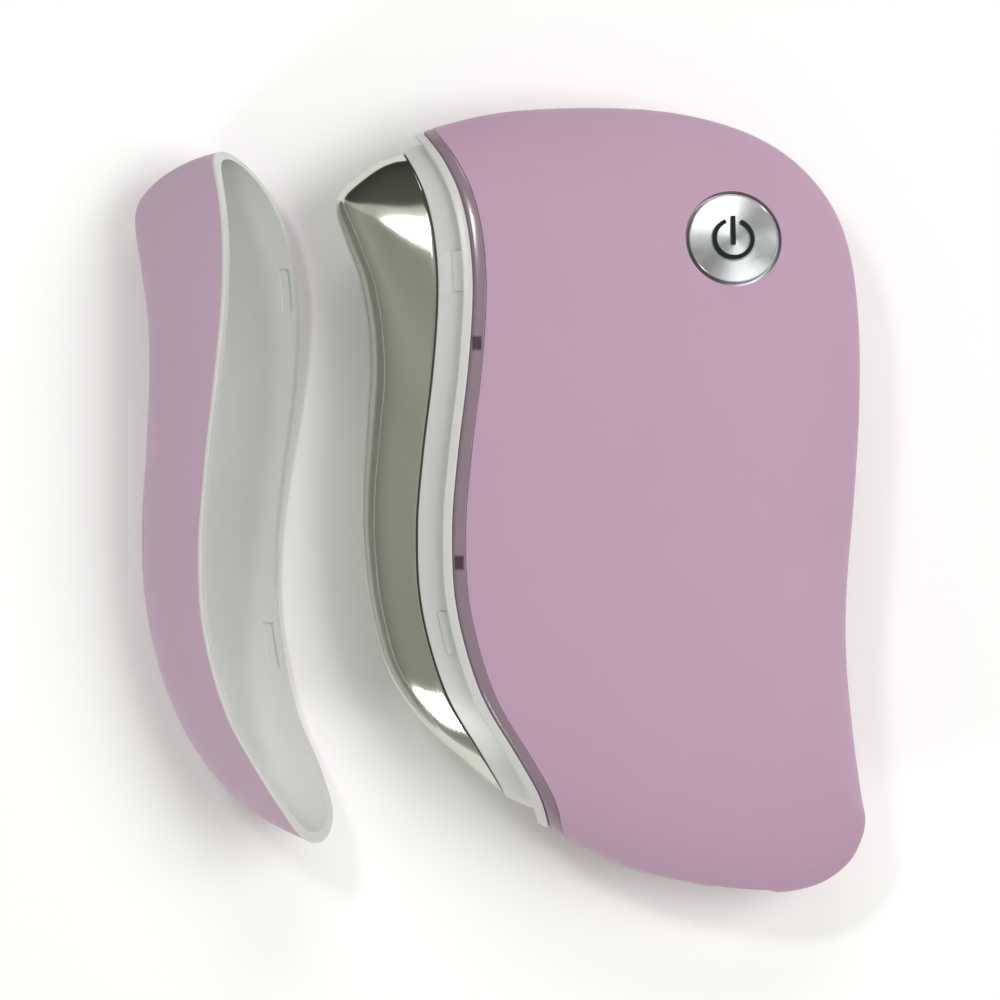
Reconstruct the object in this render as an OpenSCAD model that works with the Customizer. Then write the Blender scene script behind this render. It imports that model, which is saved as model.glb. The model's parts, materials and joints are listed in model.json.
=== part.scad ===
// Palm-size facial scraping massager with a push-on cap.
// It lies on its back: +X right, +Y up along the handle, +Z out of the front. The origin is
// the centre of the flat it rests on. A parting line, shaped like a shallow S, runs from top
// to bottom: the handle is on its right, the metal head and the cap that covers it on its left.

/* [Body] */
// Height of the seam between the front and back shells above the table
seam_z = 11.4; // [11:0.1:11.6]
// Bulge of each half above the seam at the middle, the back being cut flat at the table
bulge = 11.9; // [11.7:0.1:12.4]
// How full the outline of a section is: 2 is an ellipse, more is flatter with rounder sides
fullness = 2.5; // [2:0.1:3]
// How square the shoulder of a section is
shoulder = 2.3; // [2:0.1:2.6]
// Wall of the handle shells
shell_wall = 1.8; // [1.4:0.1:2.2]
// Width of the smoke-grey light ring
ring_w = 1.7; // [1.2:0.1:2]
// Width of the collar's rim, which the cap meets
rim_w = 1.25; // [1:0.05:1.6]
// Length of the collar's sleeve, which the cap slides over
sleeve_w = 3; // [2.4:0.1:3.6]
// Step from the rim down to the sleeve
step = 1.5; // [1.4:0.05:1.7]

/* [Cap] */
// Wall of the coloured outer shell of the cap
cap_wall = 0.6; // [0.5:0.05:0.7]
// Wall of the white liner
liner_wall = 0.6; // [0.5:0.05:0.7]
// Gap between the cap's mouth and the collar's rim when it is on
mouth_gap = 0.3; // [0.2:0.05:0.5]
// Angle between the cap as it lies and the cap in place
cap_swing = 28; // [24:1:32]
// How far left of its place on the head the mouth of the cap lies
cap_shift = 25.7; // [24:0.1:28]
// How far down the cap lies from its place
cap_drop = 2.2; // [0:0.1:3]
// Height above the table of the middle of its mouth as it lies
cap_mouth_z = 11.1; // [8:0.05:13]
// How far the cap's axis of swing leans towards the table's normal
cap_lean = 0.06; // [0:0.01:0.1]

/* [Button] */
// Diameter of the button's face
button_d = 11.5; // [11:0.1:13]
// Gap around the button
button_gap = 0.45; // [0.2:0.05:0.6]
// How far it presses in
button_travel = 0.4; // [0.2:0.05:0.5]
// Outer diameter of the power mark
icon_d = 5.4; // [4:0.1:7]

/* [Inside] */
// Diameter of the vibration motor's can
motor_d = 10; // [8:0.5:11]
// Length of the motor's can
motor_l = 15; // [12:1:18]
// Motor shaft
shaft_d = 1.5; // [1:0.1:2]
// Lithium polymer cell: width, length, thickness
cell = [22, 34, 4.5]; // [4:0.5:40]
// Board thickness
board_t = 1; // [0.8:0.1:1.6]

/* [Hidden] */
$fn = 48;

// The whole outline with the cap on, counter-clockwise from the left.
OUTLINE = [
    [-39, 0], [-38.9, -7], [-37.9, -14], [-35.6, -21.5], [-32, -28.5], [-27, -34.2], [-20.5, -38.6],
    [-13, -41.4], [-8, -44], [-1.5, -47], [6.5, -49], [13, -50], [18.4, -50.2], [23.3, -49],
    [26.8, -46.4], [28.5, -43.2], [28.9, -40.6], [28.4, -38], [27.3, -30], [26.4, -20], [26.5, -11],
    [27.4, 0], [28.1, 12], [28, 23], [26.8, 32], [24.2, 38.3], [19.5, 43.6], [13, 47.3], [4, 49.6],
    [-6.4, 50.2], [-17, 49.7], [-24, 48.3], [-29, 46.8], [-33.5, 45.5], [-38, 43.2], [-41, 40.3],
    [-41.4, 37.3], [-40, 32], [-38.5, 25.5], [-38, 18], [-38.4, 9]
];
bottom_i = 7; // outline point where the parting line leaves the bottom
top_i = 32;   // outline point where it leaves the top

// The parting line from above the top of the outline to below its bottom.
PARTING = [
    [-31.4, 49.6], [-29, 46.9], [-26.3, 43.2], [-24.2, 38.6], [-23, 33], [-22.6, 26], [-23.2, 16.5],
    [-24.5, 5.5], [-25.2, -4], [-24.6, -14], [-21.6, -24.5], [-17, -32.5], [-14.2, -37.5],
    [-13, -41.5], [-12.6, -45]
];

// The free edge of the metal head from top to bottom, between the ends of its seam.
HEAD_EDGE = [
    [-33.5, 43.2], [-36.5, 41.2], [-38.5, 39.2], [-38.9, 37], [-37.7, 33], [-36, 28], [-35, 22],
    [-34.8, 16], [-35.2, 9], [-35.7, 1], [-35.6, -6], [-34.6, -14], [-32.3, -22], [-28, -28.4],
    [-22.6, -33.3]
];

function mix(a, b, t) = a + (b - a) * t;
function wrap(a) = a > 180 ? a - 360 : a < -180 ? a + 360 : a;
function blend(a, b, c, d, t) =
    b + 0.5 * t * ((c - a) + t * ((2 * a - 5 * b + 4 * c - d) + t * (3 * (b - c) + d - a)));

// Smooth curves through hand-placed points: an open one with s from 0 to 1, and a closed
// one with s counting its points.
function open_curve(p, s) =
    let (n = len(p) - 1, i = min(floor(s * n), n - 1))
    blend(p[max(i - 1, 0)], p[i], p[i + 1], p[min(i + 2, n)], s * n - i);
function closed_curve(p, s) =
    let (n = len(p), i = floor(s))
    blend(p[(i + n - 1) % n], p[i % n], p[(i + 1) % n], p[(i + 2) % n], s - i);

// The outline's radius at each angle, and a smoother one that the middle of the bulge follows.
edge_samples = 6 * len(OUTLINE);
radius_table = [for (i = [0:edge_samples])
    let (p = closed_curve(OUTLINE, i * len(OUTLINE) / edge_samples))
    [i == 0 ? -180 : i == edge_samples ? 180 : atan2(p.y, p.x), norm(p)]];
function radius(a) = lookup(wrap(a), radius_table);
soft_table = [for (a = [-180:3:180])
    [a, let (near = [for (k = [-24:6:24]) radius(a + k)]) near * [for (n = near) 1 / len(near)]]];
function soft_radius(a) = lookup(wrap(a), soft_table);

// Half thickness at a point of the plan, for the outer surface or one set in by some depth.
function reach(p, depth) =
    let (a = atan2(p.y, p.x), r = norm(p), edge = radius(a), soft = soft_radius(a))
    r / (soft + (edge - soft) * pow(min(1, r / (edge - depth)), 6) - depth);
function half(p, depth = 0) =
    (bulge - depth) * pow(max(0, 1 - pow(reach(p, depth), fullness)), 1 / shoulder);

// The parting line moved right by dx, where it is inside a surface set in by some depth.
function line_at(s, dx) = open_curve(PARTING, s) + [dx, 0];
function crossing(dx, depth, inside, outside, n = 16) =
    let (m = (inside + outside) / 2, p = line_at(m, dx))
    n == 0 ? m
    : norm(p) > radius(atan2(p.y, p.x)) - depth ? crossing(dx, depth, inside, m, n - 1)
    : crossing(dx, depth, m, outside, n - 1);
function ends(dx, depth) = [crossing(dx, depth, 0.3, 0), crossing(dx, depth, 0.7, 1)];
function on_line(v, dx, range) = line_at(mix(range[0], range[1], v), dx);

// Rows are closer at the top and bottom, where every surface turns over.
function row_place(i, rows) = mix(i / rows, (1 - cos(180 * i / rows)) / 2, 0.6);

// A grid over the handle (side 1) or the cap (side -1): rows from top to bottom, columns from
// the parting line out to the edge. Its first and last rows are single points.
function edge_angle(side, v) =
    side > 0
    ? let (p = closed_curve(OUTLINE, mix(top_i, bottom_i, v))) atan2(p.y, p.x)
    : let (n = len(OUTLINE), p = closed_curve(OUTLINE, mix(top_i, bottom_i + n, v) % n),
           a = atan2(p.y, p.x))
      a < 0 ? a + 360 : a;
function line_angle(side, p) = let (a = atan2(p.y, p.x)) side < 0 && a < 0 ? a + 360 : a;
function plan_rows(side, dx, depth, rows, places) =
    let (range = ends(dx, depth), top = on_line(0, dx, range), low = on_line(1, dx, range),
         from = edge_angle(side, 0), to = edge_angle(side, 1),
         a0 = line_angle(side, top), a1 = line_angle(side, low))
    [for (i = [0:rows])
        let (v = row_place(i, rows), p = on_line(v, dx, range),
             a = a0 + (edge_angle(side, v) - from) * (a1 - a0) / (to - from),
             q = (radius(a) - depth) * [cos(a), sin(a)])
        [for (t = places) i == 0 ? top : i == rows ? low : mix(p, q, t)]];

// A skin is a grid of points whose first and last rows are one point each. Two skins with the
// same grid close into one shell: outer face, inner face and the strip around their rims.
function row_start(i, cols) = i == 0 ? 0 : 1 + (i - 1) * cols;
function skin_points(g) =
    concat([g[0][0]], [for (i = [1:len(g) - 2]) each g[i]], [g[len(g) - 1][0]]);
function skin_faces(rows, cols, base, flip) = [
    for (i = [0:rows - 1]) for (j = [0:cols - 2])
        let (a = base + row_start(i, cols), b = base + row_start(i + 1, cols))
        let (f = i == 0 ? [a, b + j + 1, b + j]
               : i == rows - 1 ? [a + j, a + j + 1, b]
               : undef)
        if (f != undef) flip ? [f[2], f[1], f[0]] : f,
    for (i = [1:rows - 2]) for (j = [0:cols - 2])
        let (a = base + row_start(i, cols) + j, b = base + row_start(i + 1, cols) + j)
        each flip ? [[a, b, a + 1], [a + 1, b, b + 1]] : [[a, a + 1, b], [a + 1, b + 1, b]]
];
function rim_index(i, rows, cols) =
    i <= rows ? row_start(i, cols)
    : let (k = 2 * rows - i) row_start(k, cols) + (k == 0 ? 0 : cols - 1);
function rim_faces(rows, cols, base, flip) = [
    for (i = [0:2 * rows - 1])
        let (a = rim_index(i, rows, cols), b = rim_index((i + 1) % (2 * rows), rows, cols))
        each flip ? [[a, base + a, b], [b, base + a, base + b]]
                  : [[a, b, base + a], [b, base + b, base + a]]
];
module closed_shell(outer, inner, flip = false) {
    rows = len(outer) - 1;
    cols = len(outer[0]);
    base = 2 + (rows - 1) * cols;
    polyhedron(
        points = concat(skin_points(outer), skin_points(inner)),
        faces = concat(skin_faces(rows, cols, 0, flip), skin_faces(rows, cols, base, !flip),
                       rim_faces(rows, cols, base, flip)),
        convexity = 6);
}

// A band that runs down the front along the parting line and up the back. Its cross-section
// is a list of [distance right of the parting line, depth below the outer surface].
function loop_point(k, steps, c, range) =
    let (front = k <= steps, v = row_place(front ? k : 2 * steps - k, steps),
         p = on_line(v, c[0], range))
    [p.x, p.y, seam_z + (front ? 1 : -1) * half(p, c[1])];
module parting_band(section, steps = 30) {
    m = len(section);
    turns = 2 * steps;
    ranges = [for (c = section) ends(c[0], c[1])];
    polyhedron(
        points = [for (k = [0:turns - 1]) for (j = [0:m - 1])
            loop_point(k, steps, section[j], ranges[j])],
        faces = [for (k = [0:turns - 1]) for (j = [0:m - 1])
            let (a = k * m, b = (k + 1) % turns * m, n = (j + 1) % m)
            each [[a + j, a + n, b + j], [a + n, b + n, b + j]]],
        convexity = 6);
}

// Handle shells: the front above the seam, the back below it.
shell_rows = 34;
shell_cols = 16;
handle_dx = rim_w + ring_w + 0.05;
edge_places = [for (j = [0:shell_cols]) sin(90 * j / shell_cols)];
function half_skin(depth, up) =
    [for (row = plan_rows(1, handle_dx, depth, shell_rows, edge_places))
        [for (p = row) [p.x, p.y, seam_z + up * half(p, depth)]]];

// The power button's own frame: its face is at the origin, its stroke along -Z.
button_at = [11.75, 33.2];
slope_step = 0.5;
button_slope = [
    half(button_at + [slope_step, 0]) - half(button_at - [slope_step, 0]),
    half(button_at + [0, slope_step]) - half(button_at - [0, slope_step])
] / (2 * slope_step);
button_lean = atan(norm(button_slope));
button_turn = atan2(-button_slope.y, -button_slope.x);
button_hole = button_d + 2 * button_gap;
pocket_top = -1.5;    // underside of the shell around the button
pocket_d = 15;
face_z = -0.15;       // rim of the button's face, just under the shell's crown
dish = 0.25;          // its face is this much lower in the middle
flange_top = -1.75;
flange_bottom = -2.3;
stem_end = -4.2;
switch_top = -5.1;
switch_h = 3.5;
switch_end = switch_top - switch_h;
plunger_d = 3.2;
plunger_sunk = 0.5;   // length of the plunger inside the switch at rest
ear_at = [[-8.4, 4.2], [4.2, -8.4]];
ear_d = 3.6;
ear_bore = 1.5;
ear_h = 9;
module button_frame() {
    translate([button_at.x, button_at.y, seam_z + half(button_at)])
        rotate([0, 0, button_turn])
            rotate([0, button_lean, 0])
                rotate([0, 0, -button_turn])
                    children();
}
module tube(h, outer_d, inner_d) {
    difference() {
        cylinder(h = h, d = outer_d);
        translate([0, 0, -1])
            cylinder(h = h + 2, d = inner_d);
    }
}
module along_x(x, y, z) {
    translate([x, y, z])
        rotate([0, 90, 0])
            children();
}

// The charging socket and its opening, half in each shell.
usb_x = 13;
usb_size = [8.9, 3.2];
usb_slack = 0.3;
usb_face = -49;
usb_l = 7.4;
usb_cut = [-40, -60];  // where its opening through the shells starts and ends
module stadium(size) {
    square([size.x - size.y, size.y], center = true);
    for (side = [-1, 1])
        translate([side * (size.x - size.y) / 2, 0])
            circle(d = size.y);
}
module usb_prism(from, to, grow) {
    translate([usb_x, from, seam_z])
        rotate([90, 0, 0])
            linear_extrude(from - to)
                stadium(usb_size + [grow, grow]);
}

// Boards and what stands on them.
board_top = seam_z - usb_size.y / 2;
board_low = board_top - board_t;
board_end = 14;       // its edge towards the button
board_posts = [[-2.5, 11.5], [13.5, 11.5], [17, -31]];
screw_d = 1.9;
post_bore = 2;
post_d = 4.2;
function floor_z(p, depth) = seam_z - half(p, depth);
cell_at = [4, -9];
cell_top = board_low - 0.9;

// Motor along Y beside the parting line, its weight towards the top.
motor_at = [-12.5, 6, seam_z];
cradle = [12, 9];
cradle_low = 3.4;     // underside of the cradle, on the back shell's inside
cradle_rise = 2;      // its arms above the motor's axis
cradle_mouth = 8;     // opening between the arms
fit = 0.04;           // clearance of a piece held in another
weight_d = 8;
weight_l = 5;
weight_hub = 3.4;
weight_y = motor_at.y + motor_l + 1.6;

module front_shell() {
    color("#c7a0ba") {
        difference() {
            closed_shell(half_skin(0, 1), half_skin(shell_wall, 1));
            button_frame() {
                translate([0, 0, -8])
                    cylinder(h = 16, d = button_hole);
                translate([0, 0, -8])
                    cylinder(h = 8 + pocket_top, d = pocket_d);
            }
            usb_prism(usb_cut[0], usb_cut[1], usb_slack);
        }
        intersection() {
            button_frame()
                for (p = ear_at)
                    translate([p.x, p.y, switch_end])
                        tube(ear_h, ear_d, ear_bore);
            closed_shell(half_skin(0.9, 1), [for (row = half_skin(0.9, 1))
                [for (p = row) [p.x, p.y, 5]]]);
        }
    }
}

module back_shell() {
    color("#c7a0ba") {
        difference() {
            union() {
                closed_shell(half_skin(0, -1), half_skin(shell_wall, -1), true);
                for (p = board_posts)
                    translate([p.x, p.y, floor_z(p, 1)])
                        tube(board_low - floor_z(p, 1), post_d, post_bore);
            }
            translate([-40, -60, -10])
                cube([80, 120, 10]);
            usb_prism(usb_cut[0], usb_cut[1], usb_slack);
        }
    }
}

module light_ring() {
    color("#6f6270")
        parting_band([[rim_w + 0.05, 0], [rim_w + ring_w, 0], [rim_w + ring_w, 1.2],
                      [rim_w + 0.05, 1.2]]);
}

// The collar: sleeve, rim, a seat under the ring and a tongue under the handle shells.
seat = 1.3;
tongue = 1.95;
collar_inside = 3.1;
module collar() {
    ring_edge = rim_w + ring_w;
    color("#d9d9d6")
        difference() {
            parting_band([[-sleeve_w, step + 0.3], [0, step], [0, 0], [rim_w, 0], [rim_w, seat],
                          [ring_edge, seat], [ring_edge, tongue], [ring_edge + 2, tongue],
                          [ring_edge + 2, collar_inside], [-sleeve_w, collar_inside]]);
            led_blocks(0.15);
        }
}

// Two indicator lamps shine through the ring from pockets in the collar.
led_at = [0.405, 0.6];
led = [1.2, 1.8, 0.7];
led_depth = 1.65;     // their tops, below the outer surface
module led_blocks(grow) {
    for (s = led_at) {
        p = line_at(s, rim_w + ring_w / 2);
        translate([p.x, p.y, seam_z + half(p, led_depth + led.z / 2)])
            cube(led + [grow, grow, grow], center = true);
    }
}
module indicator_leds() {
    color("#3a2c3c")
        led_blocks(0);
}

// Metal head: a hollow wedge with a round free edge. Its profile runs from its seam (t = 0)
// to the free edge (t = 1) as a share of the thickness at the seam: it thins evenly and then
// rounds over, later the larger edge_nose is.
edge_thinning = 0.5;
edge_nose = 7;
edge_round = 2.2;
head_dx = -sleeve_w - 0.45;
head_depth = 2.2;
head_wall = 1.3;
head_rows = 32;
head_cols = 9;
function wedge(t) =
    (1 - edge_thinning * t) * pow(max(0, 1 - pow(t, edge_nose)), 1 / edge_round);
function head_row_place(j) = let (t = abs(1 - j / head_cols)) 1 - pow(t, 1.5);
function head_skin(inset) =
    let (range = ends(head_dx, head_depth + inset), outer = ends(head_dx, head_depth),
         edge = concat([on_line(0, head_dx, outer)], HEAD_EDGE, [on_line(1, head_dx, outer)]))
    [for (i = [0:head_rows])
        let (v = row_place(i, head_rows), p = on_line(v, head_dx, range),
             q = open_curve(edge, v), gap = norm(q - p),
             b = gap > 0 ? mix(q, p, min(0.9, 1.3 * inset / gap)) : q)
        [for (j = [0:2 * head_cols])
            let (t = head_row_place(j), up = j < head_cols ? 1 : -1,
                 c = i == 0 || i == head_rows ? p : mix(p, b, t))
            [c.x, c.y, seam_z + up * half(p, head_depth + inset) * wedge(t)]]];
module massage_head() {
    color("#a5a69b")
        closed_shell(head_skin(0), head_skin(head_wall), true);
}

module head_gasket() {
    color("#2b2b2b")
        parting_band([[head_dx + 0.12, 2.5], [-sleeve_w - 0.1, 2.5], [-sleeve_w - 0.1, 3.1],
                      [head_dx + 0.12, 3.1]]);
}

// Inside the head: a plate behind the collar carries it on studs, with a heated bar between.
stud_y = [26, 3, -19];
plate_half = 5.6;
plate_dx = [0.2, 1.8];
bar_half = 3;
bar_dx = [-5.6, 0.1];
function seam_place(y, lo = 0, hi = 1, n = 18) =
    let (m = (lo + hi) / 2)
    n == 0 ? m
    : line_at(m, 0).y > y ? seam_place(y, m, hi, n - 1) : seam_place(y, lo, m, n - 1);
function seam_x(y) = line_at(seam_place(y), 0).x;
module seam_strip(dx, y_range, tall, steps = 16) {
    translate([0, 0, seam_z - tall])
        linear_extrude(2 * tall)
            polygon([for (k = [0:1]) for (i = [0:steps])
                let (y = mix(y_range[0], y_range[1], k == 0 ? i / steps : 1 - i / steps))
                [seam_x(y) + dx[k], y]]);
}
module stud_bores(d) {
    for (y = stud_y)
        along_x(seam_x(y) - 8, y, seam_z)
            cylinder(h = 14, d = d);
}
lead_hole = [-8, 3.76];  // place along Y and height above the seam of the heater's leads
nut_seat = 1.5;          // depth to which the plate is faced flat for the nuts
module head_plate() {
    color("#dedede")
        difference() {
            seam_strip(plate_dx, [32, -26], plate_half);
            stud_bores(2.4);
            for (y = stud_y)
                along_x(seam_x(y) + nut_seat, y, seam_z)
                    cylinder(h = 3, d = 5.6);
            along_x(seam_x(lead_hole.x) - 2, lead_hole.x, seam_z + lead_hole.y)
                cylinder(h = 6, d = 2.6);
        }
}
module heater_bar() {
    color("#b9bcc0")
        difference() {
            seam_strip(bar_dx, [29, -22], bar_half);
            stud_bores(2.4);
        }
}
film_t = 0.25;
module heater_film() {
    color("#b5651d")
        translate([0, 0, bar_half + film_t / 2 + 0.02])
            seam_strip([-5, -0.6], [27, -20], film_t / 2);
}
module thermistor() {
    color("#1f1f1f")
        translate([seam_x(10) - 3, 10, seam_z + bar_half + film_t + 0.65])
            cube([1.6, 2.4, 1.2], center = true);
}
module head_studs() {
    color("#c8c8c8")
        for (y = stud_y)
            along_x(seam_x(y) - 7.4, y, seam_z)
                cylinder(h = 11.6, d = 2.2);
}
module head_nuts() {
    color("#c8c8c8")
        for (y = stud_y)
            along_x(seam_x(y) + nut_seat + fit / 2, y, seam_z)
                difference() {
                    cylinder(h = 1.6, d = 4.6, $fn = 6);
                    translate([0, 0, -1])
                        cylinder(h = 4, d = 2.24);
                }
}

module power_button() {
    r = button_d / 2;
    color("#d4d6d8")
        button_frame()
            rotate_extrude()
                polygon([[0, face_z - dish], [r - 0.8, face_z - 0.05], [r - 0.6, face_z],
                         [r - 0.2, face_z], [r, face_z - 0.2], [r, flange_top],
                         [7, flange_top], [7, flange_bottom], [1.8, flange_bottom],
                         [1.8, stem_end], [0, stem_end]]);
}
icon_line = 0.54;
icon_t = 0.08;
icon_rise = 0.14;     // its underside above the middle of the face, clear of the dish
icon_gap = 23;
module button_icon() {
    face = face_z - dish;
    r = icon_d / 2;
    color("#2c3a36")
        button_frame()
            translate([0, 0, face + icon_rise]) {
                rotate([0, 0, 90 + icon_gap])
                    rotate_extrude(angle = 360 - 2 * icon_gap)
                        translate([r - icon_line, 0])
                            square([icon_line, icon_t]);
                translate([-icon_line / 2, -0.8, 0])
                    cube([icon_line, 3.75, icon_t]);
            }
}
module switch_plunger() {
    color("#222222")
        button_frame()
            translate([0, 0, switch_top - plunger_sunk])
                cylinder(h = stem_end - switch_top + plunger_sunk - 0.02, d = plunger_d);
}
module switch_body() {
    color("#8f9296")
        button_frame()
            difference() {
                translate([-3, -3, switch_end])
                    cube([6, 6, switch_h]);
                translate([0, 0, switch_top - plunger_sunk - button_travel - 0.4])
                    cylinder(h = 3, d = plunger_d + 0.3);
            }
}
module button_board() {
    color("#2f6b46")
        button_frame()
            translate([0, 0, switch_end - 0.8 - 0.02])
                linear_extrude(0.8)
                    difference() {
                        union() {
                            circle(d = 12);
                            for (p = ear_at) {
                                translate(p)
                                    circle(d = 4);
                                rotate([0, 0, atan2(p.y, p.x)])
                                    translate([0, -2])
                                        square([norm(p), 4]);
                            }
                        }
                        for (p = ear_at)
                            translate(p)
                                circle(d = 1.7);
                    }
}
module small_screw(d, l, head_d, head_h) {
    translate([0, 0, -l])
        cylinder(h = l + 0.01, d = d);
    difference() {
        cylinder(h = head_h, d = head_d);
        translate([0, 0, head_h - 0.5])
            cylinder(h = 1, d = head_d / 2.2, $fn = 6);
    }
}
module button_board_screws() {
    color("#c8c8c8")
        button_frame()
            for (p = ear_at)
                translate([p.x, p.y, switch_end - 0.84])
                    rotate([180, 0, 0])
                        small_screw(1.4, 3, 2.6, 0.9);
}

module main_board() {
    color("#2f6b46")
        translate([0, 0, board_low + 0.02])
            linear_extrude(board_t - 0.04)
                difference() {
                    polygon([[-5.5, board_end], [16, board_end], [19.5, -28], [20.5, -44], [4, -44],
                             [-5.5, -32]]);
                    for (p = board_posts)
                        translate(p)
                            circle(d = 2.3);
                }
}
module main_board_screws() {
    color("#c8c8c8")
        for (p = board_posts)
            translate([p.x, p.y, board_top])
                small_screw(screw_d, 4.5, 3.4, 1.2);
}
module on_board(x, y, size) {
    translate([x - size.x / 2, y - size.y / 2, board_top])
        cube(size);
}
module controller_chip() {
    color("#1d1d1f")
        on_board(4, -12, [7, 7, 1]);
}
module charger_chip() {
    color("#1d1d1f")
        on_board(12, -30, [4, 5, 1.4]);
}
module boost_inductor() {
    color("#4a4a4d")
        on_board(4, -30, [5, 5, 3]);
}
plug_size = [4.4, 4.4, 3.6];
plugs = [[3, 5], [-3, -0.5], [-3, -8]];
module board_plugs() {
    color("#eeeae0")
        for (p = plugs)
            on_board(p.x, p.y, plug_size);
}
module charging_socket() {
    color("#c9cbce")
        difference() {
            usb_prism(usb_face + usb_l, usb_face, 0);
            usb_prism(usb_face + usb_l - 1, usb_face - 1, -0.6);
        }
}
module socket_tongue() {
    color("#202124")
        translate([usb_x - 3.3, usb_face + 0.8, seam_z - 0.35])
            cube([6.6, usb_l - 1.85, 0.7]);
}
module battery_cell() {
    color("#b8bcc4")
        translate([cell_at.x - cell.x / 2, cell_at.y - cell.y / 2, cell_top - cell.z])
            cube(cell);
}
module battery_pad() {
    color("#e9e6da")
        translate([cell_at.x - 8, cell_at.y - 14, cell_top + 0.05])
            cube([16, 28, board_low - cell_top - 0.1]);
}

module motor_can() {
    color("#c3c5c8")
        translate(motor_at)
            rotate([-90, 0, 0])
                tube(motor_l, motor_d, shaft_d + 1.5 * fit);
}
module motor_cradle() {
    color("#dedede")
        difference() {
            translate([motor_at.x - cradle.x / 2, motor_at.y + 3, cradle_low])
                cube([cradle.x, cradle.y, motor_at.z + cradle_rise - cradle_low]);
            translate(motor_at)
                rotate([-90, 0, 0])
                    cylinder(h = motor_l, d = motor_d + fit);
            translate([motor_at.x - cradle_mouth / 2, motor_at.y, motor_at.z])
                cube([cradle_mouth, motor_l, motor_d]);
        }
}
module motor_shaft() {
    color("#d8d8d8")
        translate(motor_at + [0, 1, 0])
            rotate([-90, 0, 0])
                cylinder(h = weight_y + weight_l - motor_at.y - 0.6, d = shaft_d);
}
module motor_weight() {
    color("#8b8378")
        translate([motor_at.x, weight_y, motor_at.z])
            rotate([-90, 0, 0])
                difference() {
                    union() {
                        cylinder(h = weight_l, d = weight_hub);
                        rotate_extrude(angle = 170)
                            square([weight_d / 2, weight_l]);
                    }
                    translate([0, 0, -1])
                        cylinder(h = weight_l + 2, d = shaft_d);
                }
}

// A lead is a run of straight pieces with round joints.
module lead(points, d = 0.9) {
    for (i = [0:len(points) - 2]) {
        step_by = points[i + 1] - points[i];
        length = norm(step_by);
        translate(points[i]) {
            rotate([0, acos(step_by.z / length), atan2(step_by.y, step_by.x)])
                cylinder(h = length, d = d, $fn = 16);
            if (i > 0)
                sphere(d = d, $fn = 16);
        }
    }
}
module lead_pair(points, apart) {
    for (side = [-0.5, 0.5])
        lead([for (p = points) p + side * apart]);
}
lead_z = board_top + 1.6;
tab_z = cell_top - 1.5;  // height of the cell's tabs
module battery_leads() {
    color("#b3261e")
        lead_pair([[plugs[0].x, cell_at.y + cell.y / 2 + 0.1, tab_z],
                   [plugs[0].x, board_end + 1.6, tab_z],
                   [plugs[0].x, board_end + 1.6, lead_z],
                   [plugs[0].x, plugs[0].y + plug_size.y / 2 + 0.05, lead_z]],
                  [1.6, 0, 0]);
}
module motor_leads() {
    color("#2b4f9e")
        lead_pair([[motor_at.x, motor_at.y - 0.1, lead_z], [motor_at.x, plugs[1].y, lead_z],
                   [plugs[1].x - plug_size.x / 2 - 0.05, plugs[1].y, lead_z]],
                  [0, 0, 1.4]);
}
module heater_leads() {
    color("#6b6b6b")
        lead_pair([[seam_x(lead_hole.x) - 3, lead_hole.x, seam_z + lead_hole.y],
                   [plugs[2].x, lead_hole.x, seam_z + lead_hole.y],
                   [plugs[2].x, lead_hole.x, board_top + plug_size.z + 0.05]],
                  [0, 1.2, 0]);
}

// The cap, modelled on the head, then laid down beside it by one turn about a fixed axis: the
// axis is square to the way that the middle of the mouth moves, so the turn alone gets it there.
cap_rows = 32;
cap_cols = 9;
cap_places = [for (j = [0:2 * cap_cols]) sin(90 * (1 - abs(j / cap_cols - 1)))];
mouth_middle = [-24.4, 2.6, seam_z];
cap_move = [-cap_shift, -cap_drop, cap_mouth_z - seam_z];
cap_axis = let (a = [(cap_move.y - cap_lean * -cap_move.z) / cap_move.x, -1, -cap_lean]) a / norm(a);
cap_pivot = mouth_middle + cap_move / 2 + cross(cap_axis, cap_move) / (2 * tan(cap_swing / 2));
function cap_skin(depth) =
    [for (row = plan_rows(-1, -mouth_gap, depth, cap_rows, cap_places))
        [for (j = [0:2 * cap_cols])
            let (p = row[j], up = j <= cap_cols ? 1 : -1)
            [p.x, p.y, seam_z + up * half(p, depth)]]];
module lay_cap() {
    translate(cap_pivot)
        rotate(a = cap_swing, v = cap_axis)
            translate(-cap_pivot)
                children();
}
module cap_shell() {
    color("#bf9ab6")
        lay_cap()
            closed_shell(cap_skin(0), cap_skin(cap_wall), true);
}
module cap_liner() {
    color("#c9cac6")
        lay_cap()
            closed_shell(cap_skin(cap_wall + 0.01), cap_skin(cap_wall + liner_wall), true);
}

front_shell();
back_shell();
light_ring();
collar();
indicator_leds();
massage_head();
head_gasket();
head_plate();
heater_bar();
heater_film();
thermistor();
head_studs();
head_nuts();
power_button();
button_icon();
switch_plunger();
switch_body();
button_board();
button_board_screws();
main_board();
main_board_screws();
controller_chip();
charger_chip();
boost_inductor();
board_plugs();
charging_socket();
socket_tongue();
battery_cell();
battery_pad();
battery_leads();
motor_can();
motor_cradle();
motor_shaft();
motor_weight();
motor_leads();
heater_leads();
cap_shell();
cap_liner();
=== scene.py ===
import json
import math

import bpy
import numpy as np
from mathutils import Matrix, Vector


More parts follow.
